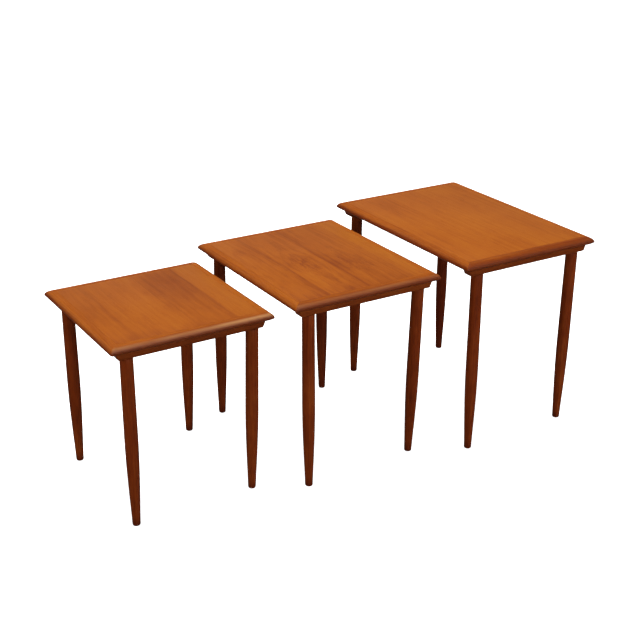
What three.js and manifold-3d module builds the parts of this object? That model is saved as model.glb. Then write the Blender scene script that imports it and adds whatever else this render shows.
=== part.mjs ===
// Nest of three teak side tables, drawn out in a row along X with the largest at +X.
// Units are millimetres, +Z is up and the feet stand on z = 0.
// "Front" is the -X side, the open side from which the next smaller table is drawn.
import * as THREE from "three";
import * as BufferGeometryUtils from "three/addons/utils/BufferGeometryUtils.js";
import Module from "manifold-3d";

const wasm = await Module();
wasm.setup();

// Driving dimensions of each table: centre along X, top size, height, legs' inset from the ends.
const TABLES = [
  { name: "large", x: 406.5, depth: 378, width: 543, height: 470, legInset: 48 },
  { name: "medium", x: -9.5, depth: 376, width: 460, height: 447, legInset: 45.5 },
  { name: "small", x: -407, depth: 370, width: 374, height: 424, legInset: 42.5 },
];

// Clearance left between pieces that touch on the real tables.
const GAP = 0.3;

// Table top: a veneered panel inside four mitred solid lippings.
const TOP_THICKNESS = 18;
const LIPPING_WIDTH = 22;
const NOSE_RUN = 15; // how far in from the nose the rounding starts
const NOSE_DROP = 11; // how far the nose lies below the top surface
const NOSE_LIP = 1.2; // blunt height of the nose itself
const UNDERCUT = 9; // how far the underside is cut back from the nose
const NOSE_STEPS = 7;
const CORNER_RADIUS = 3;

// Rails lie flat under the two sides and carry the legs.
const RAIL_WIDTH = 25;
const RAIL_HEIGHT = 15;
const RAIL_END_INSET = 15; // from the nose of the top to the rail's end
const RAIL_END_SLANT = 6.5; // the rail's end leans in towards the bottom
const RAIL_CHAMFER = 1.4;

// Round tapered legs.
const LEG_INSET_Y = 25.5; // from the side of the top to the leg's centre
const LEG_SEGMENTS = 24;
const LEG_TOP_RADIUS = 14;
// Radius at a height above the floor; above the last entry it eases to the top radius.
const LEG_TAPER = [
  [0, 7],
  [1.2, 8.1],
  [3, 8.7],
  [35, 9.8],
  [65, 11.1],
  [95, 12.2],
  [125, 13.2],
  [155, 13.9],
  [190, 14.4],
  [250, 14.4],
];
// How far, in X and Y, a foot stands from straight below the top of its leg. The rest are upright.
const FOOT_OFFSET = {
  large_front_left: [-8, -9],
  large_front_right: [-8, -12],
  large_back_left: [-4, -6],
  large_back_right: [-4, 0],
  medium_front_left: [-4, 0],
  medium_front_right: [-2, -7],
  medium_back_left: [-2, -9],
  medium_back_right: [-5, 9],
  small_back_left: [-4, 0],
  small_back_right: [-3, 8],
};

// Steel stud joining each leg to its rail, blind at both ends.
const STUD_RADIUS = 4;
const STUD_IN_LEG = 28;
const STUD_IN_RAIL = 11.5;
const STUD_CHAMFER = 1;
const FASTENER_SEGMENTS = 16;

// Slotted countersunk screws holding the rail to the panel.
const SCREW_LENGTH = 24;
const SCREW_SHANK_RADIUS = 2;
const SCREW_HEAD_RADIUS = 4;
const SCREW_HEAD_HEIGHT = 2.4;
const SCREW_TIP = 4;
const SCREW_SLOT_WIDTH = 1;
const SCREW_SLOT_DEPTH = 0.9;
const SCREW_SPACING = 140;
const SCREW_INSET_Y = 31;

const TEAK_VENEER = { color: 0xb5652b, roughness: 0.42, metalness: 0 };
const TEAK_LIPPING = { color: 0xa4572a, roughness: 0.4, metalness: 0 };
const TEAK_RAIL = { color: 0x6f3218, roughness: 0.5, metalness: 0 };
const TEAK_LEG = { color: 0x74351b, roughness: 0.48, metalness: 0 };
const ZINC_STEEL = { color: 0xa9a9a4, roughness: 0.4, metalness: 1 };
const BRASSED_STEEL = { color: 0xb08a4a, roughness: 0.38, metalness: 1 };

const SIDES = [
  { name: "left", y: 1 },
  { name: "right", y: -1 },
];
const ENDS = [
  { name: "front", x: -1 },
  { name: "back", x: 1 },
];

// Turn a buffer geometry into a manifold solid.
function toSolid(geometry) {
  const bare = geometry.clone();
  bare.deleteAttribute("normal");
  bare.deleteAttribute("uv");
  const merged = BufferGeometryUtils.mergeVertices(bare, 1e-4);
  const vertProperties = new Float32Array(merged.attributes.position.array);
  const triVerts = new Uint32Array(merged.index.array);
  return new wasm.Manifold(new wasm.Mesh({ numProp: 3, vertProperties, triVerts }));
}

// Turn a manifold solid back into a buffer geometry.
function toGeometry(solid) {
  const mesh = solid.getMesh();
  const geometry = new THREE.BufferGeometry();
  const positions = new THREE.BufferAttribute(new Float32Array(mesh.vertProperties), 3);
  geometry.setAttribute("position", positions);
  geometry.setIndex(new THREE.BufferAttribute(new Uint32Array(mesh.triVerts), 1));
  geometry.computeVertexNormals();
  return geometry;
}

function makeMesh(name, solid, finish) {
  const mesh = new THREE.Mesh(toGeometry(solid), new THREE.MeshStandardMaterial(finish));
  mesh.name = name;
  return mesh;
}

// Revolve [radius, height] pairs about the Z axis, listed from the bottom upwards.
function revolve(pairs, segments) {
  const points = pairs.map(([radius, height]) => new THREE.Vector2(radius, height));
  const geometry = new THREE.LatheGeometry(points, segments);
  geometry.rotateX(Math.PI / 2);
  return toSolid(geometry);
}

// Extrude [first, second] pairs straight up from z = 0.
function extrude(pairs, length) {
  const shape = new THREE.Shape(pairs.map(([a, b]) => new THREE.Vector2(a, b)));
  const options = { depth: length, bevelEnabled: false };
  return toSolid(new THREE.ExtrudeGeometry(shape, options));
}

function box(sizeX, sizeY, sizeZ) {
  return toSolid(new THREE.BoxGeometry(sizeX, sizeY, sizeZ));
}

// Cross-section of the lipping: distance from the nose (negative is inwards), height.
function lippingSection() {
  const section = [[-LIPPING_WIDTH, -TOP_THICKNESS], [-LIPPING_WIDTH, 0]];
  for (let step = 0; step <= NOSE_STEPS; step += 1) {
    const angle = (Math.PI / 2) * (1 - step / NOSE_STEPS);
    const out = NOSE_RUN * (Math.cos(angle) - 1);
    const down = NOSE_DROP * (Math.sin(angle) - 1);
    section.push([out, down]);
  }
  section.push([-0.5, -NOSE_DROP - NOSE_LIP]);
  section.push([-UNDERCUT, -TOP_THICKNESS]);
  return section.reverse();
}

// A straight lipping along +X whose ends are mitred at 45 degrees, its nose at y = -halfAcross.
function mitredStrip(halfAlong, halfAcross) {
  const section = lippingSection();
  const count = section.length;
  const positions = [];
  for (const end of [-1, 1]) {
    for (const [out, height] of section) {
      positions.push(end * (halfAlong + out - GAP * Math.SQRT1_2), -(halfAcross + out), height);
    }
  }
  const shape = section.map(([out, height]) => new THREE.Vector2(out, height));
  const faces = THREE.ShapeUtils.triangulateShape(shape, []);
  const index = [];
  for (const [a, b, c] of faces) {
    index.push(a, b, c);
    index.push(count + c, count + b, count + a);
  }
  for (let i = 0; i < count; i += 1) {
    const next = (i + 1) % count;
    index.push(i, count + next, next);
    index.push(i, count + i, count + next);
  }
  const geometry = new THREE.BufferGeometry();
  geometry.setAttribute("position", new THREE.Float32BufferAttribute(positions, 3));
  geometry.setIndex(index);
  return toSolid(geometry);
}

// Plan outline of the top with its slightly rounded corners.
function roundedPlan(table) {
  const halfX = table.depth / 2;
  const halfY = table.width / 2;
  const shape = new THREE.Shape();
  shape.moveTo(-halfX + CORNER_RADIUS, -halfY);
  shape.absarc(halfX - CORNER_RADIUS, -halfY + CORNER_RADIUS, CORNER_RADIUS, -Math.PI / 2, 0);
  shape.absarc(halfX - CORNER_RADIUS, halfY - CORNER_RADIUS, CORNER_RADIUS, 0, Math.PI / 2);
  shape.absarc(-halfX + CORNER_RADIUS, halfY - CORNER_RADIUS, CORNER_RADIUS, Math.PI / 2, Math.PI);
  shape.absarc(-halfX + CORNER_RADIUS, -halfY + CORNER_RADIUS, CORNER_RADIUS, Math.PI, 1.5 * Math.PI);
  const options = { depth: 2 * TOP_THICKNESS, bevelEnabled: false, curveSegments: 5 };
  const solid = toSolid(new THREE.ExtrudeGeometry(shape, options));
  return solid.translate([0, 0, -1.5 * TOP_THICKNESS]);
}

// The four lippings of one table, in table coordinates with the top surface at z = 0.
function makeLippings(table) {
  const plan = roundedPlan(table);
  const alongX = mitredStrip(table.depth / 2, table.width / 2);
  const alongY = mitredStrip(table.width / 2, table.depth / 2);
  return {
    right: alongX.intersect(plan),
    left: alongX.rotate([0, 0, 180]).intersect(plan),
    front: alongY.rotate([0, 0, -90]).intersect(plan),
    back: alongY.rotate([0, 0, 90]).intersect(plan),
  };
}

// Heights below are measured from the top surface of the table.
const railTop = -TOP_THICKNESS - GAP;
const railBottom = -TOP_THICKNESS - RAIL_HEIGHT;
const legTop = railBottom - GAP;

function legCentre(table, end, side) {
  const x = end.x * (table.depth / 2 - table.legInset);
  const y = side.y * (table.width / 2 - LEG_INSET_Y);
  return [x, y];
}

// A stud, or with extra > 0 the clearance hole around it.
function studSolid(extra) {
  const radius = STUD_RADIUS + extra;
  const low = legTop - STUD_IN_LEG - extra;
  const high = legTop + STUD_IN_RAIL + extra;
  const chamfer = STUD_CHAMFER;
  const pairs = [
    [0, low],
    [radius - chamfer, low],
    [radius, low + chamfer],
    [radius, high - chamfer],
    [radius - chamfer, high],
    [0, high],
  ];
  return revolve(pairs, FASTENER_SEGMENTS);
}

// A screw with its head at the rail's underside, or with extra > 0 its clearance hole.
function screwSolid(extra) {
  const low = railBottom + GAP - extra;
  const coneTop = railBottom + GAP + SCREW_HEAD_HEIGHT + extra;
  const high = railBottom + SCREW_LENGTH + extra;
  const shank = SCREW_SHANK_RADIUS + extra;
  const head = SCREW_HEAD_RADIUS + extra;
  const mouth = extra > 0 ? [[0, low - 2], [head, low - 2]] : [[0, low]];
  const pairs = [
    ...mouth,
    [head, low],
    [head, low + 0.4],
    [shank, coneTop],
    [shank, high - SCREW_TIP],
    [0, high],
  ];
  return revolve(pairs, FASTENER_SEGMENTS);
}

function slottedScrew() {
  const slot = box(3 * SCREW_HEAD_RADIUS, SCREW_SLOT_WIDTH, 2 * SCREW_SLOT_DEPTH);
  const turned = slot.rotate([0, 0, 35]).translate([0, 0, railBottom + GAP]);
  return screwSolid(0).subtract(turned);
}

function screwCentre(table, end, side) {
  return [(end.x * SCREW_SPACING) / 2, side.y * (table.width / 2 - SCREW_INSET_Y)];
}

// Remove the stud and screw holes of one table from a solid.
function cutHoles(table, solid) {
  const studHole = studSolid(GAP);
  const screwHole = screwSolid(GAP);
  let result = solid;
  for (const side of SIDES) {
    for (const end of ENDS) {
      result = result.subtract(studHole.translate([...legCentre(table, end, side), 0]));
      result = result.subtract(screwHole.translate([...screwCentre(table, end, side), 0]));
    }
  }
  return result;
}

function makePanel(table) {
  const sizeX = table.depth - 2 * (LIPPING_WIDTH + GAP);
  const sizeY = table.width - 2 * (LIPPING_WIDTH + GAP);
  const panel = box(sizeX, sizeY, TOP_THICKNESS).translate([0, 0, -TOP_THICKNESS / 2]);
  return cutHoles(table, panel);
}

// One rail centred on its pair of legs, with slanted ends and eased bottom edges.
function makeRail(table, side) {
  const half = RAIL_WIDTH / 2;
  const height = railTop - railBottom;
  const section = [
    [-half, height],
    [-half, RAIL_CHAMFER],
    [-half + RAIL_CHAMFER, 0],
    [half - RAIL_CHAMFER, 0],
    [half, RAIL_CHAMFER],
    [half, height],
  ];
  const length = table.depth - 2 * RAIL_END_INSET;
  const bar = extrude(section, length).rotate([90, 0, 90]).translate([-length / 2, 0, 0]);
  const profile = [
    [-length / 2 + RAIL_END_SLANT, 0],
    [length / 2 - RAIL_END_SLANT, 0],
    [length / 2, height],
    [-length / 2, height],
  ];
  const cutter = extrude(profile, 2 * RAIL_WIDTH).rotate([90, 0, 0]);
  const slanted = bar.intersect(cutter.translate([0, RAIL_WIDTH, 0]));
  const y = side.y * (table.width / 2 - LEG_INSET_Y);
  return cutHoles(table, slanted.translate([0, y, railBottom]));
}

function makeLeg(table, end, side) {
  const top = table.height + legTop;
  const taper = LEG_TAPER.map(([height, radius]) => [radius, height]);
  const pairs = [[0, 0], ...taper, [LEG_TOP_RADIUS, top], [0, top]];
  const upright = revolve(pairs, LEG_SEGMENTS).translate([0, 0, -table.height]);
  const [offsetX, offsetY] = FOOT_OFFSET[`${table.name}_${end.name}_${side.name}`] ?? [0, 0];
  const leg = upright.warp((vertex) => {
    const share = (legTop - vertex[2]) / top;
    vertex[0] += offsetX * share;
    vertex[1] += offsetY * share;
  });
  const bored = leg.subtract(studSolid(GAP));
  return bored.translate([...legCentre(table, end, side), 0]);
}

function addTable(group, table) {
  const place = (suffix, solid, finish) => {
    const moved = solid.translate([table.x, 0, table.height]);
    group.add(makeMesh(`${table.name}_${suffix}`, moved, finish));
  };
  place("top_panel", makePanel(table), TEAK_VENEER);
  for (const [sideName, lipping] of Object.entries(makeLippings(table))) {
    place(`lipping_${sideName}`, lipping, TEAK_LIPPING);
  }
  const stud = studSolid(0);
  const screw = slottedScrew();
  for (const side of SIDES) {
    place(`rail_${side.name}`, makeRail(table, side), TEAK_RAIL);
    for (const end of ENDS) {
      const where = `${end.name}_${side.name}`;
      const studMoved = stud.translate([...legCentre(table, end, side), 0]);
      const screwMoved = screw.translate([...screwCentre(table, end, side), 0]);
      place(`leg_${where}`, makeLeg(table, end, side), TEAK_LEG);
      place(`leg_stud_${where}`, studMoved, ZINC_STEEL);
      place(`rail_screw_${where}`, screwMoved, BRASSED_STEEL);
    }
  }
}

const group = new THREE.Group();
for (const table of TABLES) {
  addTable(group, table);
}

export default group;
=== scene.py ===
import math

import bmesh
import bpy
from mathutils import Matrix, Vector


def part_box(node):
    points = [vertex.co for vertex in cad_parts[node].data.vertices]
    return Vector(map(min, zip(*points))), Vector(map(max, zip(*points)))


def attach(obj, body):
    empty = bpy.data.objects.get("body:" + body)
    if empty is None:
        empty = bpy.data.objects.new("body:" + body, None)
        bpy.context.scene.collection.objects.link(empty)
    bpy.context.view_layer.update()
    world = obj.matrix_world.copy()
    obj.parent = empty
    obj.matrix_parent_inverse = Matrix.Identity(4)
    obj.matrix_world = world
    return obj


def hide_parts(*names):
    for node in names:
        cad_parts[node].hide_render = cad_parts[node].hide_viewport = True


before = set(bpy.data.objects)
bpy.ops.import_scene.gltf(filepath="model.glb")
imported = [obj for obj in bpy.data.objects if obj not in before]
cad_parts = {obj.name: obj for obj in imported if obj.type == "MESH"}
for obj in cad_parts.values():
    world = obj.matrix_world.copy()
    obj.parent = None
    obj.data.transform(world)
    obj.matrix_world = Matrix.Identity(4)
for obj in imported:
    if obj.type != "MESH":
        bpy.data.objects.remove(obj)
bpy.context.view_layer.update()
MM = 0.001
TABLES = ("large", "medium", "small")

# Shapes of the visible pieces, in millimetres.
TOP_THICKNESS = 18.0
LIPPING_WIDTH = 22.0
LIPPING_FLAT = 18.0  # inset from the nose where the flat strip has its last edge before the rounding
NOSE_RUN = 15.0  # how far in from the nose the rounding starts
NOSE_DROP = 11.0  # how far the nose lies below the top surface
NOSE_LIP = 1.2  # blunt height of the nose itself
UNDERCUT = 9.0  # how far the underside is cut back from the nose
CORNER_RADIUS = 3.0
CORNER_SOFTENING = 0.75  # growth of the corner radius for each millimetre up the rounding
JOINT = 0.05
PANEL_EASE = 0.08
RAIL_END_SLANT = 6.5
RAIL_EASE = 1.5
LEG_TOP_RADIUS = 14.0
# Height above the floor and radius of each leg.
LEG_TAPER = ((3, 8.7), (35, 9.8), (65, 11.1), (95, 12.2), (125, 13.2), (155, 13.9), (190, 14.4), (250, 14.4))
# Radius and height of the small rounded foot.
FOOT_ROUNDING = ((0.0, 0.0), (5.8, 0.0), (6.9, 0.25), (7.7, 0.8), (8.2, 1.5), (8.5, 2.3))
# How far, in X and Y, a foot stands from straight below the top of its leg. The rest are upright.
FOOT_OFFSET = {
    "large_front_left": (-8, -9),
    "large_front_right": (-8, -12),
    "large_back_left": (-4, -6),
    "large_back_right": (-4, 0),
    "medium_front_left": (-4, 0),
    "medium_front_right": (-2, -7),
    "medium_back_left": (-2, -9),
    "medium_back_right": (-5, 9),
    "small_back_left": (-4, 0),
    "small_back_right": (-3, 8),
}


# ---------------------------------------------------------------- node helper

class Tree:
    """A short way to write shader node graphs."""

    def __init__(self, name):
        self.material = bpy.data.materials.new(name)
        self.material.use_nodes = True
        self.nodes = self.material.node_tree.nodes
        self.links = self.material.node_tree.links
        self.nodes.clear()
        self.out = self.nodes.new("ShaderNodeOutputMaterial")
        self.bsdf = self.nodes.new("ShaderNodeBsdfPrincipled")
        self.links.new(self.bsdf.outputs[0], self.out.inputs["Surface"])

    def put(self, socket, value):
        if isinstance(value, bpy.types.NodeSocket):
            self.links.new(value, socket)
        elif value is not None:
            socket.default_value = value

    def math(self, operation, a, b=None, c=None, clamp=False):
        node = self.nodes.new("ShaderNodeMath")
        node.operation = operation
        node.use_clamp = clamp
        for socket, value in zip(node.inputs, (a, b, c)):
            self.put(socket, value)
        return node.outputs[0]

    def add(self, a, b):
        return self.math("ADD", a, b)

    def subtract(self, a, b):
        return self.math("SUBTRACT", a, b)

    def multiply(self, a, b):
        return self.math("MULTIPLY", a, b)

    def divide(self, a, b):
        return self.math("DIVIDE", a, b)

    def combine(self, x, y, z):
        node = self.nodes.new("ShaderNodeCombineXYZ")
        for socket, value in zip(node.inputs, (x, y, z)):
            self.put(socket, value)
        return node.outputs[0]

    def noise(self, vector, detail, rough, distortion=0.0, scale=1.0):
        node = self.nodes.new("ShaderNodeTexNoise")
        self.put(node.inputs["Vector"], vector)
        self.put(node.inputs["Scale"], scale)
        self.put(node.inputs["Detail"], detail)
        self.put(node.inputs["Roughness"], rough)
        self.put(node.inputs["Distortion"], distortion)
        return node.outputs["Fac"]

    def white(self, value):
        node = self.nodes.new("ShaderNodeTexWhiteNoise")
        node.noise_dimensions = "1D"
        self.put(node.inputs["W"], value)
        return node.outputs["Value"]

    def ramp(self, factor, stops, smooth=True):
        node = self.nodes.new("ShaderNodeValToRGB")
        ramp = node.color_ramp
        ramp.interpolation = "EASE" if smooth else "LINEAR"
        while len(ramp.elements) < len(stops):
            ramp.elements.new(1.0)
        for element, (place, colour) in zip(ramp.elements, stops):
            element.position = place
            level = colour if isinstance(colour, tuple) else (colour,) * 3
            element.color = (*level, 1.0)
        self.put(node.inputs[0], factor)
        return node.outputs[0]

    def remap(self, value, low, high, to_low=0.0, to_high=1.0):
        node = self.nodes.new("ShaderNodeMapRange")
        for socket, item in zip(node.inputs, (value, low, high, to_low, to_high)):
            self.put(socket, item)
        return node.outputs[0]

    def mix(self, factor, a, b):
        """Blend two colours, each a socket or three numbers."""
        node = self.nodes.new("ShaderNodeMix")
        node.data_type = "RGBA"
        factor_socket, a_socket, b_socket = node.inputs[0], node.inputs[6], node.inputs[7]
        self.put(factor_socket, factor)
        self.put(a_socket, (*a, 1.0) if isinstance(a, tuple) else a)
        self.put(b_socket, (*b, 1.0) if isinstance(b, tuple) else b)
        return node.outputs[2]

    def attribute(self, name):
        node = self.nodes.new("ShaderNodeAttribute")
        node.attribute_name = name
        return node.outputs["Fac"]

    def object_xyz(self):
        place = self.nodes.new("ShaderNodeTexCoord")
        split = self.nodes.new("ShaderNodeSeparateXYZ")
        self.put(split.inputs[0], place.outputs["Object"])
        return split.outputs

    def bump(self, height, distance, strength):
        node = self.nodes.new("ShaderNodeBump")
        node.inputs["Strength"].default_value = strength
        node.inputs["Distance"].default_value = distance
        self.put(node.inputs["Height"], height)
        self.put(self.bsdf.inputs["Normal"], node.outputs[0])


# ----------------------------------------------------------------------- wood

# How often each feature of the grain repeats in a metre: across the fibres and along them.
WANDER = (9.0, 3.2)
JAGS = (120.0, 26.0)
FIBRES = (1100.0, 18.0)
PORES = (2600.0, 120.0)
STREAKS = (95.0, 3.0)
MOTTLE = (70.0, 28.0)
CLOUDS = (14.0, 6.0)
STROKES = (170.0, 48.0)

LEAVES_EACH_WAY = 20  # enough veneer leaves to either side of the middle
LOG_LENGTH = 3.0  # metres of log from which a board or leaf may be cut
BAND_REACH = 190.0  # the bands run this far to either side, in millimetres
EYE_MATCH = 0.03  # a leaf whose centre is this near to the eye's place carries the eye
# The rim attribute paints shade: darker towards the noses of the edge strips, partly also their oiled end
# grain, and darker towards the feet of the legs.
RIM_WEIGHT = 0.55  # how strongly the "rim" attribute deepens the tone
WOOD_RELIEF = 0.00006
METAL_RELIEF = 0.00005


def stretched(t, across, along, depth, repeats, shift=None):
    """Noise coordinates drawn out along the grain."""
    fine, coarse = repeats
    deep = t.multiply(depth, fine)
    if shift is not None:
        deep = t.add(deep, shift)
    return t.combine(t.multiply(across, fine), t.multiply(along, coarse), deep)


def veneer_leaf(t, across, along, seed, width, joint):
    """Where a point lies in its own veneer leaf, as if the leaf were cut from another part of the log."""
    cell = t.math("FLOOR", t.divide(t.add(across, LEAVES_EACH_WAY * width - joint), width))
    centre = t.add(t.multiply(t.subtract(cell, LEAVES_EACH_WAY - 0.5), width), joint)
    pick = t.white(t.add(t.multiply(cell, 3.7), seed))
    along_log = t.add(along, t.multiply(pick, LOG_LENGTH))
    return t.subtract(across, centre), along_log, pick, centre


def raise_eye(t, along, deep, centre, eye):
    """Lift the pith in one leaf, which makes nested ovals on its face."""
    middle, lift, reach, leaf_at = eye
    lift = t.multiply(t.math("COMPARE", centre, leaf_at, EYE_MATCH), lift)
    run = t.divide(t.subtract(along, middle), reach)
    return t.subtract(deep, t.divide(lift, t.add(t.multiply(run, run), 1.0)))


def growth_rings(t, off, along, deep, seed, ring):
    """Late wood lines: rings of this width round a pith that lies below the face."""
    jag_at = t.combine(t.multiply(off, JAGS[0]), t.multiply(along, JAGS[1]), seed)
    jag = t.multiply(t.subtract(t.noise(jag_at, detail=4.0, rough=0.65), 0.5), 1.1 * ring)
    radius = t.math("SQRT", t.add(t.multiply(off, off), t.multiply(deep, deep)))
    phase = t.divide(t.add(radius, jag), ring)
    pace = t.noise(t.combine(t.multiply(phase, 0.35), seed, 0.0), detail=1.0, rough=0.5)
    rings = t.math("FRACT", t.add(phase, t.multiply(pace, 2.2)))
    return t.ramp(rings, [(0.0, 0.12), (0.5, 0.25), (0.86, 1.0), (1.0, 0.12)])


def fibres_and_pores(t, off, along_log, depth, late):
    """Both are long and thin, and the pores are more open in the late wood."""
    fibre = t.noise(stretched(t, off, along_log, depth, FIBRES), detail=3.0, rough=0.6)
    pores = t.noise(stretched(t, off, along_log, depth, PORES), detail=1.0, rough=0.5)
    pores = t.multiply(t.remap(pores, 0.60, 0.74), t.remap(late, 0.0, 1.0, 0.35, 1.0))
    return fibre, pores


def patch(t, across, along, centre, reach, shift):
    """A soft oval where the wood is darker (positive) or lighter."""
    aside = t.divide(t.subtract(across, centre[0] * MM), reach[0] * MM)
    ahead = t.divide(t.subtract(along, centre[1] * MM), reach[1] * MM)
    square = t.add(t.multiply(aside, aside), t.multiply(ahead, ahead))
    return t.divide(shift, t.add(t.multiply(square, square), 1.0))


def flame(t, across, along, centre, reach, shift):
    """Short jagged dark strokes gathered in an oval, where the leaf cuts through wavy grain."""
    strokes_at = t.combine(t.multiply(across, STROKES[0]), t.multiply(along, STROKES[1]), centre[0])
    strokes = t.noise(strokes_at, detail=4.0, rough=0.65, distortion=1.4)
    return t.multiply(t.remap(strokes, 0.46, 0.64), patch(t, across, along, centre, reach, shift))


def own_marks(t, tone, across, along, cloud, bands, patches, flames):
    """The stripes, ovals and flames that belong to one particular top."""
    if bands:
        stops = [((place + BAND_REACH) / (2 * BAND_REACH), 0.5 + shift) for place, shift in bands]
        place = t.remap(across, -BAND_REACH * MM, BAND_REACH * MM)
        tone = t.add(tone, t.subtract(t.ramp(place, stops, smooth=False), 0.5))
    drifted = t.add(across, t.multiply(t.subtract(cloud, 0.5), 0.12))
    for oval in patches:
        tone = t.add(tone, patch(t, drifted, along, *oval))
    for oval in flames:
        tone = t.add(tone, flame(t, across, along, *oval))
    return tone


def wood(name, grain, tones, ring, pith, slope, contrast=1.0, figure=0.22, roughness=0.42, gleam=0.32,
         edge_band=None, leaf=None, eye=None, bands=(), patches=(), flames=()):
    """Oiled teak. grain is the axis the fibres run along; tones go from light to dark.
    pith is where the middle of the log lies aside and below; leaf is the width of a veneer leaf and
    where one joint lies; bands are tone shifts across the top; the edge band colour is blended in along
    the edge attribute: a paler nose band on the edge strips, mostly a painted highlight and partly wear,
    and a darker line on the rails."""
    t = Tree(name)
    x, y, z = t.object_xyz()
    seed = t.attribute("seed")
    along, across, depth = {"X": (x, y, z), "Y": (y, x, z), "Z": (z, x, y)}[grain]
    if leaf:
        across_log, along_log, pick, centre = veneer_leaf(t, across, along, seed, *leaf)
    else:
        pick, centre = t.white(t.add(seed, 17.0)), 0.0
        across_log = t.add(across, pith[0])
        along_log = t.add(along, t.multiply(pick, LOG_LENGTH))

    # Slow wander of the fibres, then the rings, fibres and pores that follow it.
    wander = t.noise(stretched(t, across_log, along_log, depth, WANDER, seed), detail=2.0, rough=0.45)
    wander = t.subtract(wander, 0.5)
    off = t.add(across_log, t.multiply(wander, 0.022))
    deep = t.add(t.add(t.multiply(along, slope), pith[1]), t.add(depth, t.multiply(wander, 0.03)))
    if eye:
        deep = raise_eye(t, along, deep, centre, eye)
    late = growth_rings(t, off, along, deep, seed, ring)
    fibre, pores = fibres_and_pores(t, off, along_log, depth, late)

    # Streaks, mottle and clouds of colour along the board.
    streak = t.noise(stretched(t, off, along_log, depth, STREAKS, seed), detail=5.0, rough=0.68)
    mottle = t.noise(stretched(t, off, along_log, depth, MOTTLE, seed), detail=3.0, rough=0.6)
    cloud_at = t.combine(t.multiply(across_log, CLOUDS[0]), t.multiply(along_log, CLOUDS[1]),
                         t.add(depth, t.add(seed, 5.0)))
    cloud = t.noise(cloud_at, detail=2.0, rough=0.5)

    # Each part shifts the tone to either side of its own middle.
    tone = t.add(t.attribute("shade"), 0.5)
    for part, middle, amount in (
        (streak, 0.5, 1.3 * contrast),
        (cloud, 0.5, 0.8 * contrast),
        (late, 0.35, figure),
        (fibre, 0.5, 0.6 * contrast),
        (mottle, 0.5, 0.55 * contrast),
        (pick, 0.5, 0.2 * contrast),
    ):
        tone = t.add(tone, t.multiply(t.subtract(part, middle), amount))
    tone = own_marks(t, tone, t.add(off, centre), along, cloud, bands, patches, flames)
    # Painted shade from the rim attribute: darker towards the noses of the edge strips and towards the feet.
    tone = t.add(tone, t.multiply(t.attribute("rim"), RIM_WEIGHT))

    light, middle, dark = tones
    tone = t.math("ADD", tone, 0.0, clamp=True)
    colour = t.ramp(tone, [(0.0, light), (0.5, middle), (1.0, dark)], smooth=False)
    in_pores = tuple(0.45 * channel for channel in dark)
    colour = t.mix(t.multiply(pores, 0.5 * contrast), colour, in_pores)
    # The edge band: on the edge strips a paler band along the nose, mostly a painted highlight and partly
    # wear; on the rails a darker line along the bottom edge.
    if edge_band:
        band_weight = t.multiply(t.attribute("edge"), t.remap(cloud, 0.3, 0.7, 0.2, 1.0))
        colour = t.mix(band_weight, colour, edge_band)
    gloss = t.add(t.add(roughness - 0.06, t.multiply(streak, 0.10)), t.multiply(pores, 0.15))
    t.put(t.bsdf.inputs["Base Color"], colour)
    t.put(t.bsdf.inputs["Roughness"], gloss)
    t.bsdf.inputs["Specular IOR Level"].default_value = gleam
    height = t.subtract(t.multiply(fibre, 0.5), t.multiply(pores, 0.9))
    height = t.subtract(height, t.multiply(late, 0.25))
    t.bump(height, WOOD_RELIEF, 0.7)
    return t.material


def metal(name, base, stain, roughness):
    """Plated steel with a little tarnish and turning marks."""
    t = Tree(name)
    x, y, z = t.object_xyz()
    tarnish = t.noise(t.combine(x, y, z), detail=4.0, rough=0.65, scale=420.0)
    marks_at = t.combine(t.multiply(x, 900.0), t.multiply(y, 900.0), t.multiply(z, 5200.0))
    marks = t.noise(marks_at, detail=2.0, rough=0.5)
    t.put(t.bsdf.inputs["Base Color"], t.mix(t.remap(tarnish, 0.42, 0.7), base, stain))
    t.put(t.bsdf.inputs["Roughness"], t.remap(tarnish, 0.3, 0.75, roughness, roughness + 0.3))
    t.bsdf.inputs["Metallic"].default_value = 1.0
    t.bump(marks, METAL_RELIEF, 0.6)
    return t.material


# ------------------------------------------------------------------ materials

VENEER_TONES = ((0.455, 0.136, 0.0110), (0.376, 0.094, 0.0085), (0.235, 0.048, 0.0065))
EDGE_TONES = ((0.445, 0.128, 0.0085), (0.362, 0.087, 0.0060), (0.190, 0.031, 0.0030))
RAIL_TONES = ((0.29, 0.068, 0.010), (0.208, 0.039, 0.006), (0.120, 0.020, 0.003))
LEG_TONES = ((0.33, 0.068, 0.010), (0.22, 0.034, 0.005), (0.12, 0.016, 0.003))
# Colours laid along the edge attribute: on the noses of the edge strips a paler band, mostly a painted
# highlight and partly wear; on the rails a darker line along the bottom edge.
LIPPING_WEAR_AND_HIGHLIGHT = (0.57, 0.28, 0.105)
RAIL_BOTTOM_LINE = (0.13, 0.024, 0.004)

# Tone shifts across each top, in millimetres from its middle; positive is darker.
BANDS = {
    "large": (
        (-187, 0.0), (-150, -0.06), (-66, 0.02), (-60, -0.10), (-20, -0.06),
        (10, -0.04), (60, -0.10), (120, 0.0), (150, -0.06), (187, -0.16),
    ),
    "medium": (
        (-187, 0.0), (-100, 0.02), (-91, 0.30), (-84, -0.02), (-40, 0.04), (8, 0.0),
        (14, 0.36), (20, 0.08), (80, 0.06), (126, 0.0), (134, -0.24), (187, -0.26),
    ),
    "small": (
        (-187, 0.04), (-122, -0.02), (-113, 0.14), (-105, -0.04), (-20, -0.06), (2, -0.12),
        (8, -0.02), (70, 0.0), (98, 0.04), (108, 0.24), (115, -0.24), (187, -0.20),
    ),
}
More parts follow.
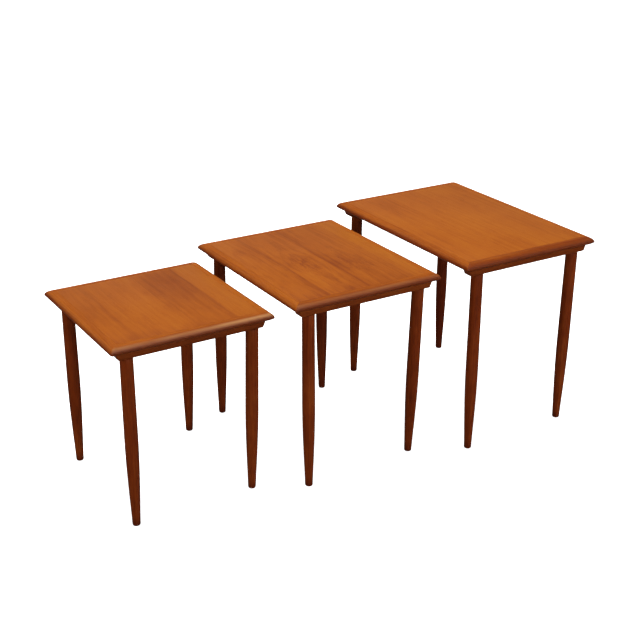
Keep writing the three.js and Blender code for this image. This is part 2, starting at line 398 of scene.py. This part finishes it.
# Ovals of darker or lighter tone: place and reach across and along, in millimetres, then the shift.
# The wide bands across the near end of the medium and small tops are painted shade; the rest are the wood's
# own.
PATCHES = {
    "large": (((-110, 160), (60, 80), 0.10), ((0, -40), (70, 170), -0.10), ((110, -170), (60, 60), -0.02)),
    # Its second oval, across the near end, is painted shade.
    "medium": (((62, -92), (46, 62), 0.09), ((0, -230), (500, 55), 0.16), ((0, 60), (70, 200), 0.06)),
    "small": (
        ((-20, -40), (50, 110), -0.08),
        ((60, 60), (50, 110), 0.26),
        ((-110, 60), (60, 120), 0.10),
        # Painted shade across the near end of the top.
        ((0, -190), (500, 40), 0.16),
    ),
}
# Ovals of dark strokes, written in the same way.
FLAMES = {
    "large": (((-20, -120), (60, 90), 0.12), ((60, 150), (60, 80), 0.12)),
    "medium": (((-36, -26), (19, 60), 0.50), ((62, -90), (40, 60), 0.22)),
    "small": (((-60, -60), (30, 70), 0.14), ((70, 90), (40, 60), 0.14)),
}


def veneer(table, ring, below, slope, contrast, figure, leaf, eye=None):
    """The face of one top, with the stripes and marks of its own leaves."""
    return wood("teak_veneer_" + table, "Y", VENEER_TONES, ring, (0.0, below), slope, contrast, figure,
                leaf=leaf, eye=eye, bands=BANDS[table], patches=PATCHES[table], flames=FLAMES[table])


def lipping_wood(axis, pith):
    """The solid edge strips that run along one axis."""
    return wood("teak_lipping_" + axis.lower(), axis, EDGE_TONES, 0.0045, pith, 0.03,
                contrast=0.7, gleam=0.22, edge_band=LIPPING_WEAR_AND_HIGHLIGHT)


VENEERS = {
    "large": veneer("large", 0.0110, 0.050, 0.03, 0.6, 0.16, leaf=(0.104, -0.062)),
    "medium": veneer("medium", 0.0090, 0.050, 0.03, 0.7, 0.18, leaf=(0.101, 0.014),
                     eye=(-0.026, 0.018, 0.060, -0.0365)),
    "small": veneer("small", 0.0100, 0.060, 0.02, 0.6, 0.12, leaf=(0.110, 0.007)),
}
LIPPING_X = lipping_wood("X", (0.06, 0.01))
LIPPING_Y = lipping_wood("Y", (0.05, 0.02))
RAIL = wood("teak_rail", "X", RAIL_TONES, 0.004, (0.05, 0.02), 0.03,
            roughness=0.5, gleam=0.10, edge_band=RAIL_BOTTOM_LINE)
LEG = wood("teak_leg", "Z", LEG_TONES, 0.0042, (0.022, 0.006), 0.02, roughness=0.44, gleam=0.10)
ZINC = metal("zinc_steel", (0.52, 0.52, 0.50), (0.30, 0.29, 0.27), 0.32)
BRASSED = metal("brassed_steel", (0.46, 0.33, 0.14), (0.20, 0.13, 0.06), 0.30)

# Tone shift of some pieces against their fellows; positive is darker. These are painted light and shade:
# the edge strips lighter or darker by the side they face, the same on every top, the large top's right
# edge strip darker, and the legs at the back, under the tops, darker.
LIPPING_SIDE_SHADING = {"front": 0.07, "back": -0.10, "left": 0.04, "right": 0.11}
LARGE_RIGHT_PAINTED_SHADE = 0.22
LEG_PAINTED_SHADE = {"medium_back_left": 0.30, "large_back_left": 0.50, "large_back_right": 0.08}
# How the tone deepens towards the nose: the amount there and the power it grows with. The darkening is
# painted shade on the rounding, deepest along the back and left edges, and partly the oiled end grain at the
# nose.
RIM_DEPTH = {"front": (1.0, 4.0), "back": (1.4, 1.5), "left": (1.4, 1.5), "right": (1.0, 1.0)}
# How strongly the paler band is painted on the rounded edge on the right of each top, and on the other
# edges. On the right it is mostly a painted highlight, strongest on the small top, and partly wear.
HIGHLIGHT_AND_WEAR_BY_TABLE = {"large": 0.08, "medium": 0.36, "small": 0.78}
LESS_HANDLED = 0.08
# Middle and half width, in millimetres, of the paler band in from a nose (mostly a painted highlight,
# partly wear) and of the darker line up from a rail's underside.
NOSE_HIGHLIGHT_AND_WEAR_AT, NOSE_HIGHLIGHT_AND_WEAR_REACH = 5.5, 5.5
RAIL_LINE_AT, RAIL_LINE_REACH = 0.8, 1.2
# Painted shade: the legs grow darker towards the floor.
FOOT_SHADE_HEIGHT = 26.0  # millimetres up to which the feet are darker


# ------------------------------------------------------------------- geometry

def add_object(name, bm, material, origin, body, node, sharp, seed, shade=0.0):
    """Finish a bmesh as a piece that stands for one CAD node. Edges over sharp degrees stay crisp."""
    bmesh.ops.remove_doubles(bm, verts=bm.verts, dist=1e-6)
    bmesh.ops.recalc_face_normals(bm, faces=bm.faces)
    mesh = bpy.data.meshes.new(name)
    bm.to_mesh(mesh)
    bm.free()
    mesh.polygons.foreach_set("use_smooth", [True] * len(mesh.polygons))
    mesh.set_sharp_from_angle(angle=math.radians(sharp))
    for label, value in (("seed", seed), ("shade", shade)):
        layer = mesh.attributes.new(label, "FLOAT", "POINT")
        layer.data.foreach_set("value", [value] * len(mesh.vertices))
    mesh.materials.append(material)
    piece = bpy.data.objects.new(name, mesh)
    piece.location = origin
    bpy.context.scene.collection.objects.link(piece)
    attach(piece, body)
    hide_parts(node)


def lipping_section(steps=16):
    """Inset from the nose, depth below the top and weight of the paler nose band, mostly a painted
    highlight and partly wear, once round the section.
    """
    section = [(LIPPING_WIDTH, 0.0, 0.0), (LIPPING_FLAT, 0.0, 0.0)]
    for step in range(steps + 1):
        angle = math.pi / 2 * (1 - step / steps)
        inset = NOSE_RUN * (1 - math.cos(angle))
        drop = NOSE_DROP * (1 - math.sin(angle))
        # Weight of the paler band: a painted highlight on the rounding, with some wear.
        edge_band = max(0.0, 1 - abs(inset - NOSE_HIGHLIGHT_AND_WEAR_AT) / NOSE_HIGHLIGHT_AND_WEAR_REACH)
        section.append((inset, drop, edge_band))
    lip_end, lip_depth, belly = 0.5, NOSE_DROP + NOSE_LIP, 0.5
    section.append((0.05, NOSE_DROP + NOSE_LIP / 2, 0.0))
    section.append((lip_end, lip_depth, 0.0))
    for part in (0.25, 0.5, 0.75):
        bulge = belly * math.sin(math.pi * part)
        inset = lip_end + (UNDERCUT - lip_end) * part - bulge
        section.append((inset, lip_depth + (TOP_THICKNESS - lip_depth) * part, 0.0))
    section.append((UNDERCUT, TOP_THICKNESS, 0.0))
    section.append((LIPPING_WIDTH, TOP_THICKNESS, 0.0))
    return section


def corner_radius(inset):
    """The corner is sharp at the nose and softer further up the rounding, as sanding leaves it."""
    flat_start = LIPPING_WIDTH - 1.0
    fade = min(1.0, max(0.0, (flat_start - inset) / (flat_start - NOSE_RUN)))
    return (CORNER_RADIUS + CORNER_SOFTENING * min(inset, NOSE_RUN)) * fade


def strip_point(half_along, half_across, station, inset, drop):
    """A point of the strip at this inset. Stations -1 to 1 are its straight part, and on to -2 and 2
    it turns round the corners as far as the mitre."""
    above_lip = drop < NOSE_DROP + NOSE_LIP
    radius = corner_radius(inset) if above_lip else max(0.0, CORNER_RADIUS - inset)
    straight = half_along - max(inset + radius, CORNER_RADIUS)
    if abs(station) <= 1.0:
        return station * straight, inset - half_across
    sign = math.copysign(1.0, station)
    angle = (abs(station) - 1.0) * math.pi / 4
    along = half_along - inset - radius + radius * math.sin(angle)
    across = half_across - inset - radius + radius * math.cos(angle)
    return sign * (along - JOINT), -across


def lipping_stations(corner_steps=8, side_steps=24):
    stations = [-2 + i / corner_steps for i in range(corner_steps)]
    stations += [-1 + 2 * i / side_steps for i in range(side_steps + 1)]
    stations += [1 + (i + 1) / corner_steps for i in range(corner_steps)]
    return stations


def make_lipping(table, side, origin, half_x, half_y, seed):
    """One mitred strip with a rounded nose, drawn as the right-hand one and then turned to its side."""
    turns = {"right": 0, "back": 1, "left": 2, "front": 3}[side]
    runs_along_x = turns % 2 == 0
    half_along, half_across = (half_x, half_y) if runs_along_x else (half_y, half_x)
    section = lipping_section()
    bm = bmesh.new()
    edge = bm.verts.layers.float.new("edge")
    rim = bm.verts.layers.float.new("rim")
    turn = Matrix.Rotation(turns * math.pi / 2, 3, "Z")
    highlight_and_wear = HIGHLIGHT_AND_WEAR_BY_TABLE[table] if side == "right" else LESS_HANDLED
    depth, power = RIM_DEPTH[side]
    rows = []
    for station in lipping_stations():
        row = []
        for inset, drop, edge_band in section:
            along, across = strip_point(half_along / MM, half_across / MM, station, inset, drop)
            vert = bm.verts.new(turn @ (Vector((along, across, -drop)) * MM))
            # The paler nose band is mostly a painted highlight, partly wear.
            vert[edge] = edge_band * highlight_and_wear
            # Painted shade, partly oiled end grain: darker towards the nose.
            vert[rim] = depth * max(0.0, 1.0 - inset / NOSE_RUN) ** power
            row.append(vert)
        rows.append(row)
    for first, second in zip(rows, rows[1:]):
        for i in range(len(section)):
            j = (i + 1) % len(section)
            bm.faces.new((first[i], first[j], second[j], second[i]))
    bm.faces.new(rows[0])
    bm.faces.new(rows[-1])
    material = LIPPING_X if runs_along_x else LIPPING_Y
    node = f"{table}_lipping_{side}"
    # Painted light and shade: each strip's tone by the side it faces, darker on the large top's right strip.
    shade = LARGE_RIGHT_PAINTED_SHADE if node == "large_lipping_right" else LIPPING_SIDE_SHADING[side]
    add_object("lip_" + node, bm, material, origin, table, node, 28.0, seed, shade)


def make_panel(table, origin, half_x, half_y, seed):
    """The veneered board inside the lippings, with barely eased edges."""
    bm = bmesh.new()
    size_x = 2 * (half_x - (LIPPING_WIDTH + JOINT) * MM)
    size_y = 2 * (half_y - (LIPPING_WIDTH + JOINT) * MM)
    thick = TOP_THICKNESS * MM
    bmesh.ops.create_cube(bm, size=1.0)
    bmesh.ops.scale(bm, vec=(size_x, size_y, thick), verts=bm.verts)
    bmesh.ops.translate(bm, vec=(0, 0, -thick / 2), verts=bm.verts)
    ease = PANEL_EASE * MM
    bmesh.ops.bevel(bm, geom=list(bm.edges), offset=ease, segments=2, affect="EDGES", profile=0.5)
    node = f"{table}_top_panel"
    add_object("board_" + node, bm, VENEERS[table], origin, table, node, 50.0, seed)


def make_rail(table, side, seed):
    """A flat bar with slanted ends, eased along every visible edge."""
    node = f"{table}_rail_{side}"
    low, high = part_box(node)
    middle = (low + high) / 2
    origin = Vector((middle.x, middle.y, high.z))
    half_x, half_y, height = (high.x - low.x) / 2, (high.y - low.y) / 2, high.z - low.z
    bm = bmesh.new()
    rings = []
    for level, cut in ((0.0, 0.0), (-height, RAIL_END_SLANT * MM)):
        ring = []
        for sx, sy in ((-1, -1), (1, -1), (1, 1), (-1, 1)):
            ring.append(bm.verts.new((sx * (half_x - cut), sy * half_y, level)))
        rings.append(ring)
    bm.faces.new(rings[0])
    bm.faces.new(rings[1])
    for i in range(4):
        j = (i + 1) % 4
        bm.faces.new((rings[0][i], rings[0][j], rings[1][j], rings[1][i]))
    eased = [e for e in bm.edges if min(v.co.z for v in e.verts) < -height / 2]
    bmesh.ops.bevel(bm, geom=eased, offset=RAIL_EASE * MM, segments=4, affect="EDGES", profile=0.5)
    # A darker line along the bottom edge of the rail, weighted by the edge attribute.
    edge = bm.verts.layers.float.new("edge")
    for vert in bm.verts:
        rise = (vert.co.z + height) / MM
        vert[edge] = max(0.0, 1.0 - abs(rise - RAIL_LINE_AT) / RAIL_LINE_REACH)
    add_object("bar_" + node, bm, RAIL, origin, table, node, 50.0, seed)


def smooth_radius(height, top):
    """Leg radius by Catmull-Rom through the turned profile."""
    points = list(LEG_TAPER) + [(top, LEG_TOP_RADIUS)]
    before = (2 * points[0][0] - points[1][0], 2 * points[0][1] - points[1][1])
    after = (2 * top - points[-2][0], LEG_TOP_RADIUS)
    points = [before, *points, after]
    start = next(i for i in range(1, len(points) - 2) if height <= points[i + 1][0])
    (x0, y0), (x1, y1), (x2, y2), (x3, y3) = points[start - 1:start + 3]
    u = (height - x1) / (x2 - x1)
    slope_in = (y2 - y0) / (x2 - x0) * (x2 - x1)
    slope_out = (y3 - y1) / (x3 - x1) * (x2 - x1)
    share = 2 * u ** 3 - 3 * u ** 2 + 1
    bend_in = u ** 3 - 2 * u ** 2 + u
    bend_out = u ** 3 - u ** 2
    return share * y1 + bend_in * slope_in + (1 - share) * y2 + bend_out * slope_out


def leg_profile(top, first=3.4, step=8.0, margin=4.0):
    """Radius and height of each ring, from the middle of the foot to the middle of the top."""
    profile = list(FOOT_ROUNDING)
    height = first
    while height < top - margin:
        profile.append((smooth_radius(height, top), height))
        height += step
    profile.append((LEG_TOP_RADIUS, top - 0.8))
    profile.append((LEG_TOP_RADIUS - 0.25, top - 0.25))
    profile.append((LEG_TOP_RADIUS - 0.8, top))
    profile.append((0.0, top))
    return profile


def make_leg(table, end, side, seed, segments=56):
    """A turned leg whose axis runs from below its stud to its own foot."""
    where = f"{table}_{end}_{side}"
    node = f"{table}_leg_{end}_{side}"
    low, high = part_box(node)
    stud_low, stud_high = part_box(f"{table}_leg_stud_{end}_{side}")
    middle = (stud_low + stud_high) / 2
    offset_x, offset_y = FOOT_OFFSET.get(where, (0, 0))
    top = (high.z - low.z) / MM
    bm = bmesh.new()
    rim = bm.verts.layers.float.new("rim")
    rings = []
    for radius, level in leg_profile(top):
        angles = [0.0] if radius == 0.0 else [2 * math.pi * i / segments for i in range(segments)]
        share = 1.0 - level / top
        axis = Vector((offset_x * share, offset_y * share, level))
        ring = []
        for angle in angles:
            place = axis + Vector((radius * math.cos(angle), radius * math.sin(angle), 0.0))
            vert = bm.verts.new(place * MM)
            # Painted shade, darker towards the foot.
            vert[rim] = max(0.0, 1.0 - level / FOOT_SHADE_HEIGHT)
            ring.append(vert)
        rings.append(ring)
    for first, second in zip(rings, rings[1:]):
        for i in range(segments):
            j = (i + 1) % segments
            if len(first) == 1:
                bm.faces.new((first[0], second[j], second[i]))
            elif len(second) == 1:
                bm.faces.new((first[i], first[j], second[0]))
            else:
                bm.faces.new((first[i], first[j], second[j], second[i]))
    origin = Vector((middle.x, middle.y, low.z))
    # Painted shade: the legs at the back, under the tops, are darker.
    shade = LEG_PAINTED_SHADE.get(where, 0.0)
    add_object("turned_" + node, bm, LEG, origin, table, node, 40.0, seed, shade)


def dress(node, material):
    """Give a CAD node that is kept a finished material."""
    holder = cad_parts[node]
    holder.data.materials.clear()
    holder.data.materials.append(material)


def build_table(table, seed):
    low_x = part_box(f"{table}_lipping_front")[0].x
    high_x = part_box(f"{table}_lipping_back")[1].x
    low_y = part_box(f"{table}_lipping_right")[0].y
    high_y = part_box(f"{table}_lipping_left")[1].y
    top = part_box(f"{table}_top_panel")[1].z
    half_x, half_y = (high_x - low_x) / 2, (high_y - low_y) / 2
    origin = Vector(((high_x + low_x) / 2, (high_y + low_y) / 2, top))
    make_panel(table, origin, half_x, half_y, seed)
    for i, side in enumerate(("front", "back", "left", "right")):
        make_lipping(table, side, origin, half_x, half_y, seed + 1.3 * (i + 1))
    for i, side in enumerate(("left", "right")):
        make_rail(table, side, seed + 6.1 + i)
        for j, end in enumerate(("front", "back")):
            make_leg(table, end, side, seed + 8.3 + 2.1 * i + j)
            dress(f"{table}_leg_stud_{end}_{side}", ZINC)
            dress(f"{table}_rail_screw_{end}_{side}", BRASSED)


for number, table in enumerate(TABLES):
    build_table(table, seed=11.0 * (number + 1))


# ---------------------------------------------------------------------- stage

WHITE = (1.0, 1.0, 1.0, 1.0)
PALE = (0.9, 0.9, 0.9, 1.0)
FLOOR_REACH = 12.0
FLOOR_GAP = 0.0005  # keeps the floor just clear of the feet
BACKDROP_RADIUS = 11.5
# Strength of the even light: from 0.11 for directions well below the horizon to 0.08 for those well above.
ROOM_LEVELS = {"From Min": -0.5, "From Max": 0.4, "To Min": 0.11, "To Max": 0.08}
CAMERA_LENS = 68.6
SENSOR_WIDTH = 36.0
CAMERA_PLACE = (-1.37976, -2.23668, 1.41497)
CAMERA_FORWARD = (0.48361, 0.78192, -0.39335)
CAMERA_ROLL = 0.3213  # degrees
# Each lamp's name, place, target, width and height, watts, and whether it lights the matt shading of
# the wood or only gives it a sheen.
LAMPS = (
    ("key", (0.35, 1.2, 4.6), (0.0, 0.0, 0.4), (3.0, 2.4), 230, "shading"),
    ("fill", (-0.4, -2.0, 0.75), (0.0, 0.0, 0.3), (1.8, 1.0), 16, "shading"),
    ("sheen", (1.7, 2.5, 1.7), (0.2, 0.0, 0.45), (3.2, 2.0), 0.8, "sheen"),
    ("gleam", (0.2, -1.4, 2.4), (0.0, 0.0, 0.4), (1.6, 1.4), 24, "sheen"),
    ("left", (-1.9, -0.1, 0.9), (-0.4, 0.0, 0.2), (0.8, 1.0), 8, "shading"),
    ("right", (1.35, -1.5, 1.0), (0.4, 0.0, 0.2), (0.8, 1.0), 8, "shading"),
    ("rear", (0.2, 2.6, 0.9), (0.0, 0.0, 0.3), (2.2, 1.0), 15, "shading"),
)


def make_white(name, bm, height, hidden_from):
    """A plain white piece of the stage, which the kinds of ray in hidden_from do not meet."""
    t = Tree(name)
    t.bsdf.inputs["Base Color"].default_value = PALE
    t.bsdf.inputs["Roughness"].default_value = 0.9
    t.bsdf.inputs["Emission Color"].default_value = WHITE
    t.bsdf.inputs["Emission Strength"].default_value = 1.0
    mesh = bpy.data.meshes.new(name)
    bm.to_mesh(mesh)
    bm.free()
    mesh.materials.append(t.material)
    piece = bpy.data.objects.new(name, mesh)
    piece.location.z = height
    for ray in hidden_from:
        setattr(piece, "visible_" + ray, False)
    bpy.context.scene.collection.objects.link(piece)
    return piece


def make_floor():
    bm = bmesh.new()
    bmesh.ops.create_grid(bm, x_segments=1, y_segments=1, size=FLOOR_REACH)
    floor = make_white("floor", bm, -FLOOR_GAP, ("diffuse", "glossy"))


def make_backdrop():
    """A white wall all round, seen by the camera alone, so that it takes no part in the lighting."""
    bm = bmesh.new()
    bmesh.ops.create_uvsphere(bm, u_segments=48, v_segments=24, radius=BACKDROP_RADIUS)
    wall = make_white("backdrop", bm, 0.0, ("diffuse", "glossy", "shadow", "transmission", "volume_scatter"))


def add_lamp(name, place, target, size, watts, use):
    """A soft rectangular lamp that the camera does not see."""
    light = bpy.data.lights.new(name, "AREA")
    light.shape = "RECTANGLE"
    light.size, light.size_y = size
    light.energy = watts
    holder = bpy.data.objects.new(name, light)
    holder.location = place
    aim = Vector(target) - Vector(place)
    holder.rotation_euler = aim.to_track_quat("-Z", "Y").to_euler()
    holder.visible_camera = False
    holder.visible_diffuse = use == "shading"
    holder.visible_glossy = use == "sheen"
    bpy.context.scene.collection.objects.link(holder)


def make_world():
    """Dim even light from the room, a little stronger from below, as if off the pale floor."""
    world = bpy.data.worlds.new("studio")
    world.use_nodes = True
    nodes, links = world.node_tree.nodes, world.node_tree.links
    place = nodes.new("ShaderNodeTexCoord")
    split = nodes.new("ShaderNodeSeparateXYZ")
    level = nodes.new("ShaderNodeMapRange")
    links.new(place.outputs["Generated"], split.inputs[0])
    links.new(split.outputs["Z"], level.inputs["Value"])
    for name, value in ROOM_LEVELS.items():
        level.inputs[name].default_value = value
    background = nodes["Background"]
    background.inputs["Color"].default_value = WHITE
    links.new(level.outputs["Result"], background.inputs["Strength"])
    bpy.context.scene.world = world


def make_camera():
    data = bpy.data.cameras.new("camera")
    data.lens, data.sensor_width = CAMERA_LENS, SENSOR_WIDTH
    data.clip_start, data.clip_end = 0.05, 60.0
    camera = bpy.data.objects.new("camera", data)
    forward = Vector(CAMERA_FORWARD).normalized()
    level = forward.cross(Vector((0, 0, 1))).normalized()
    roll = math.radians(CAMERA_ROLL)
    right = level * math.cos(roll) + level.cross(forward) * math.sin(roll)
    up = right.cross(forward)
    turn = Matrix((right, up, -forward)).transposed().to_4x4()
    camera.matrix_world = Matrix.Translation(CAMERA_PLACE) @ turn
    bpy.context.scene.collection.objects.link(camera)
    bpy.context.scene.camera = camera


make_floor()
make_backdrop()
make_world()
make_camera()
for lamp in LAMPS:
    add_lamp(*lamp)
bpy.context.scene.view_settings.view_transform = "Standard"
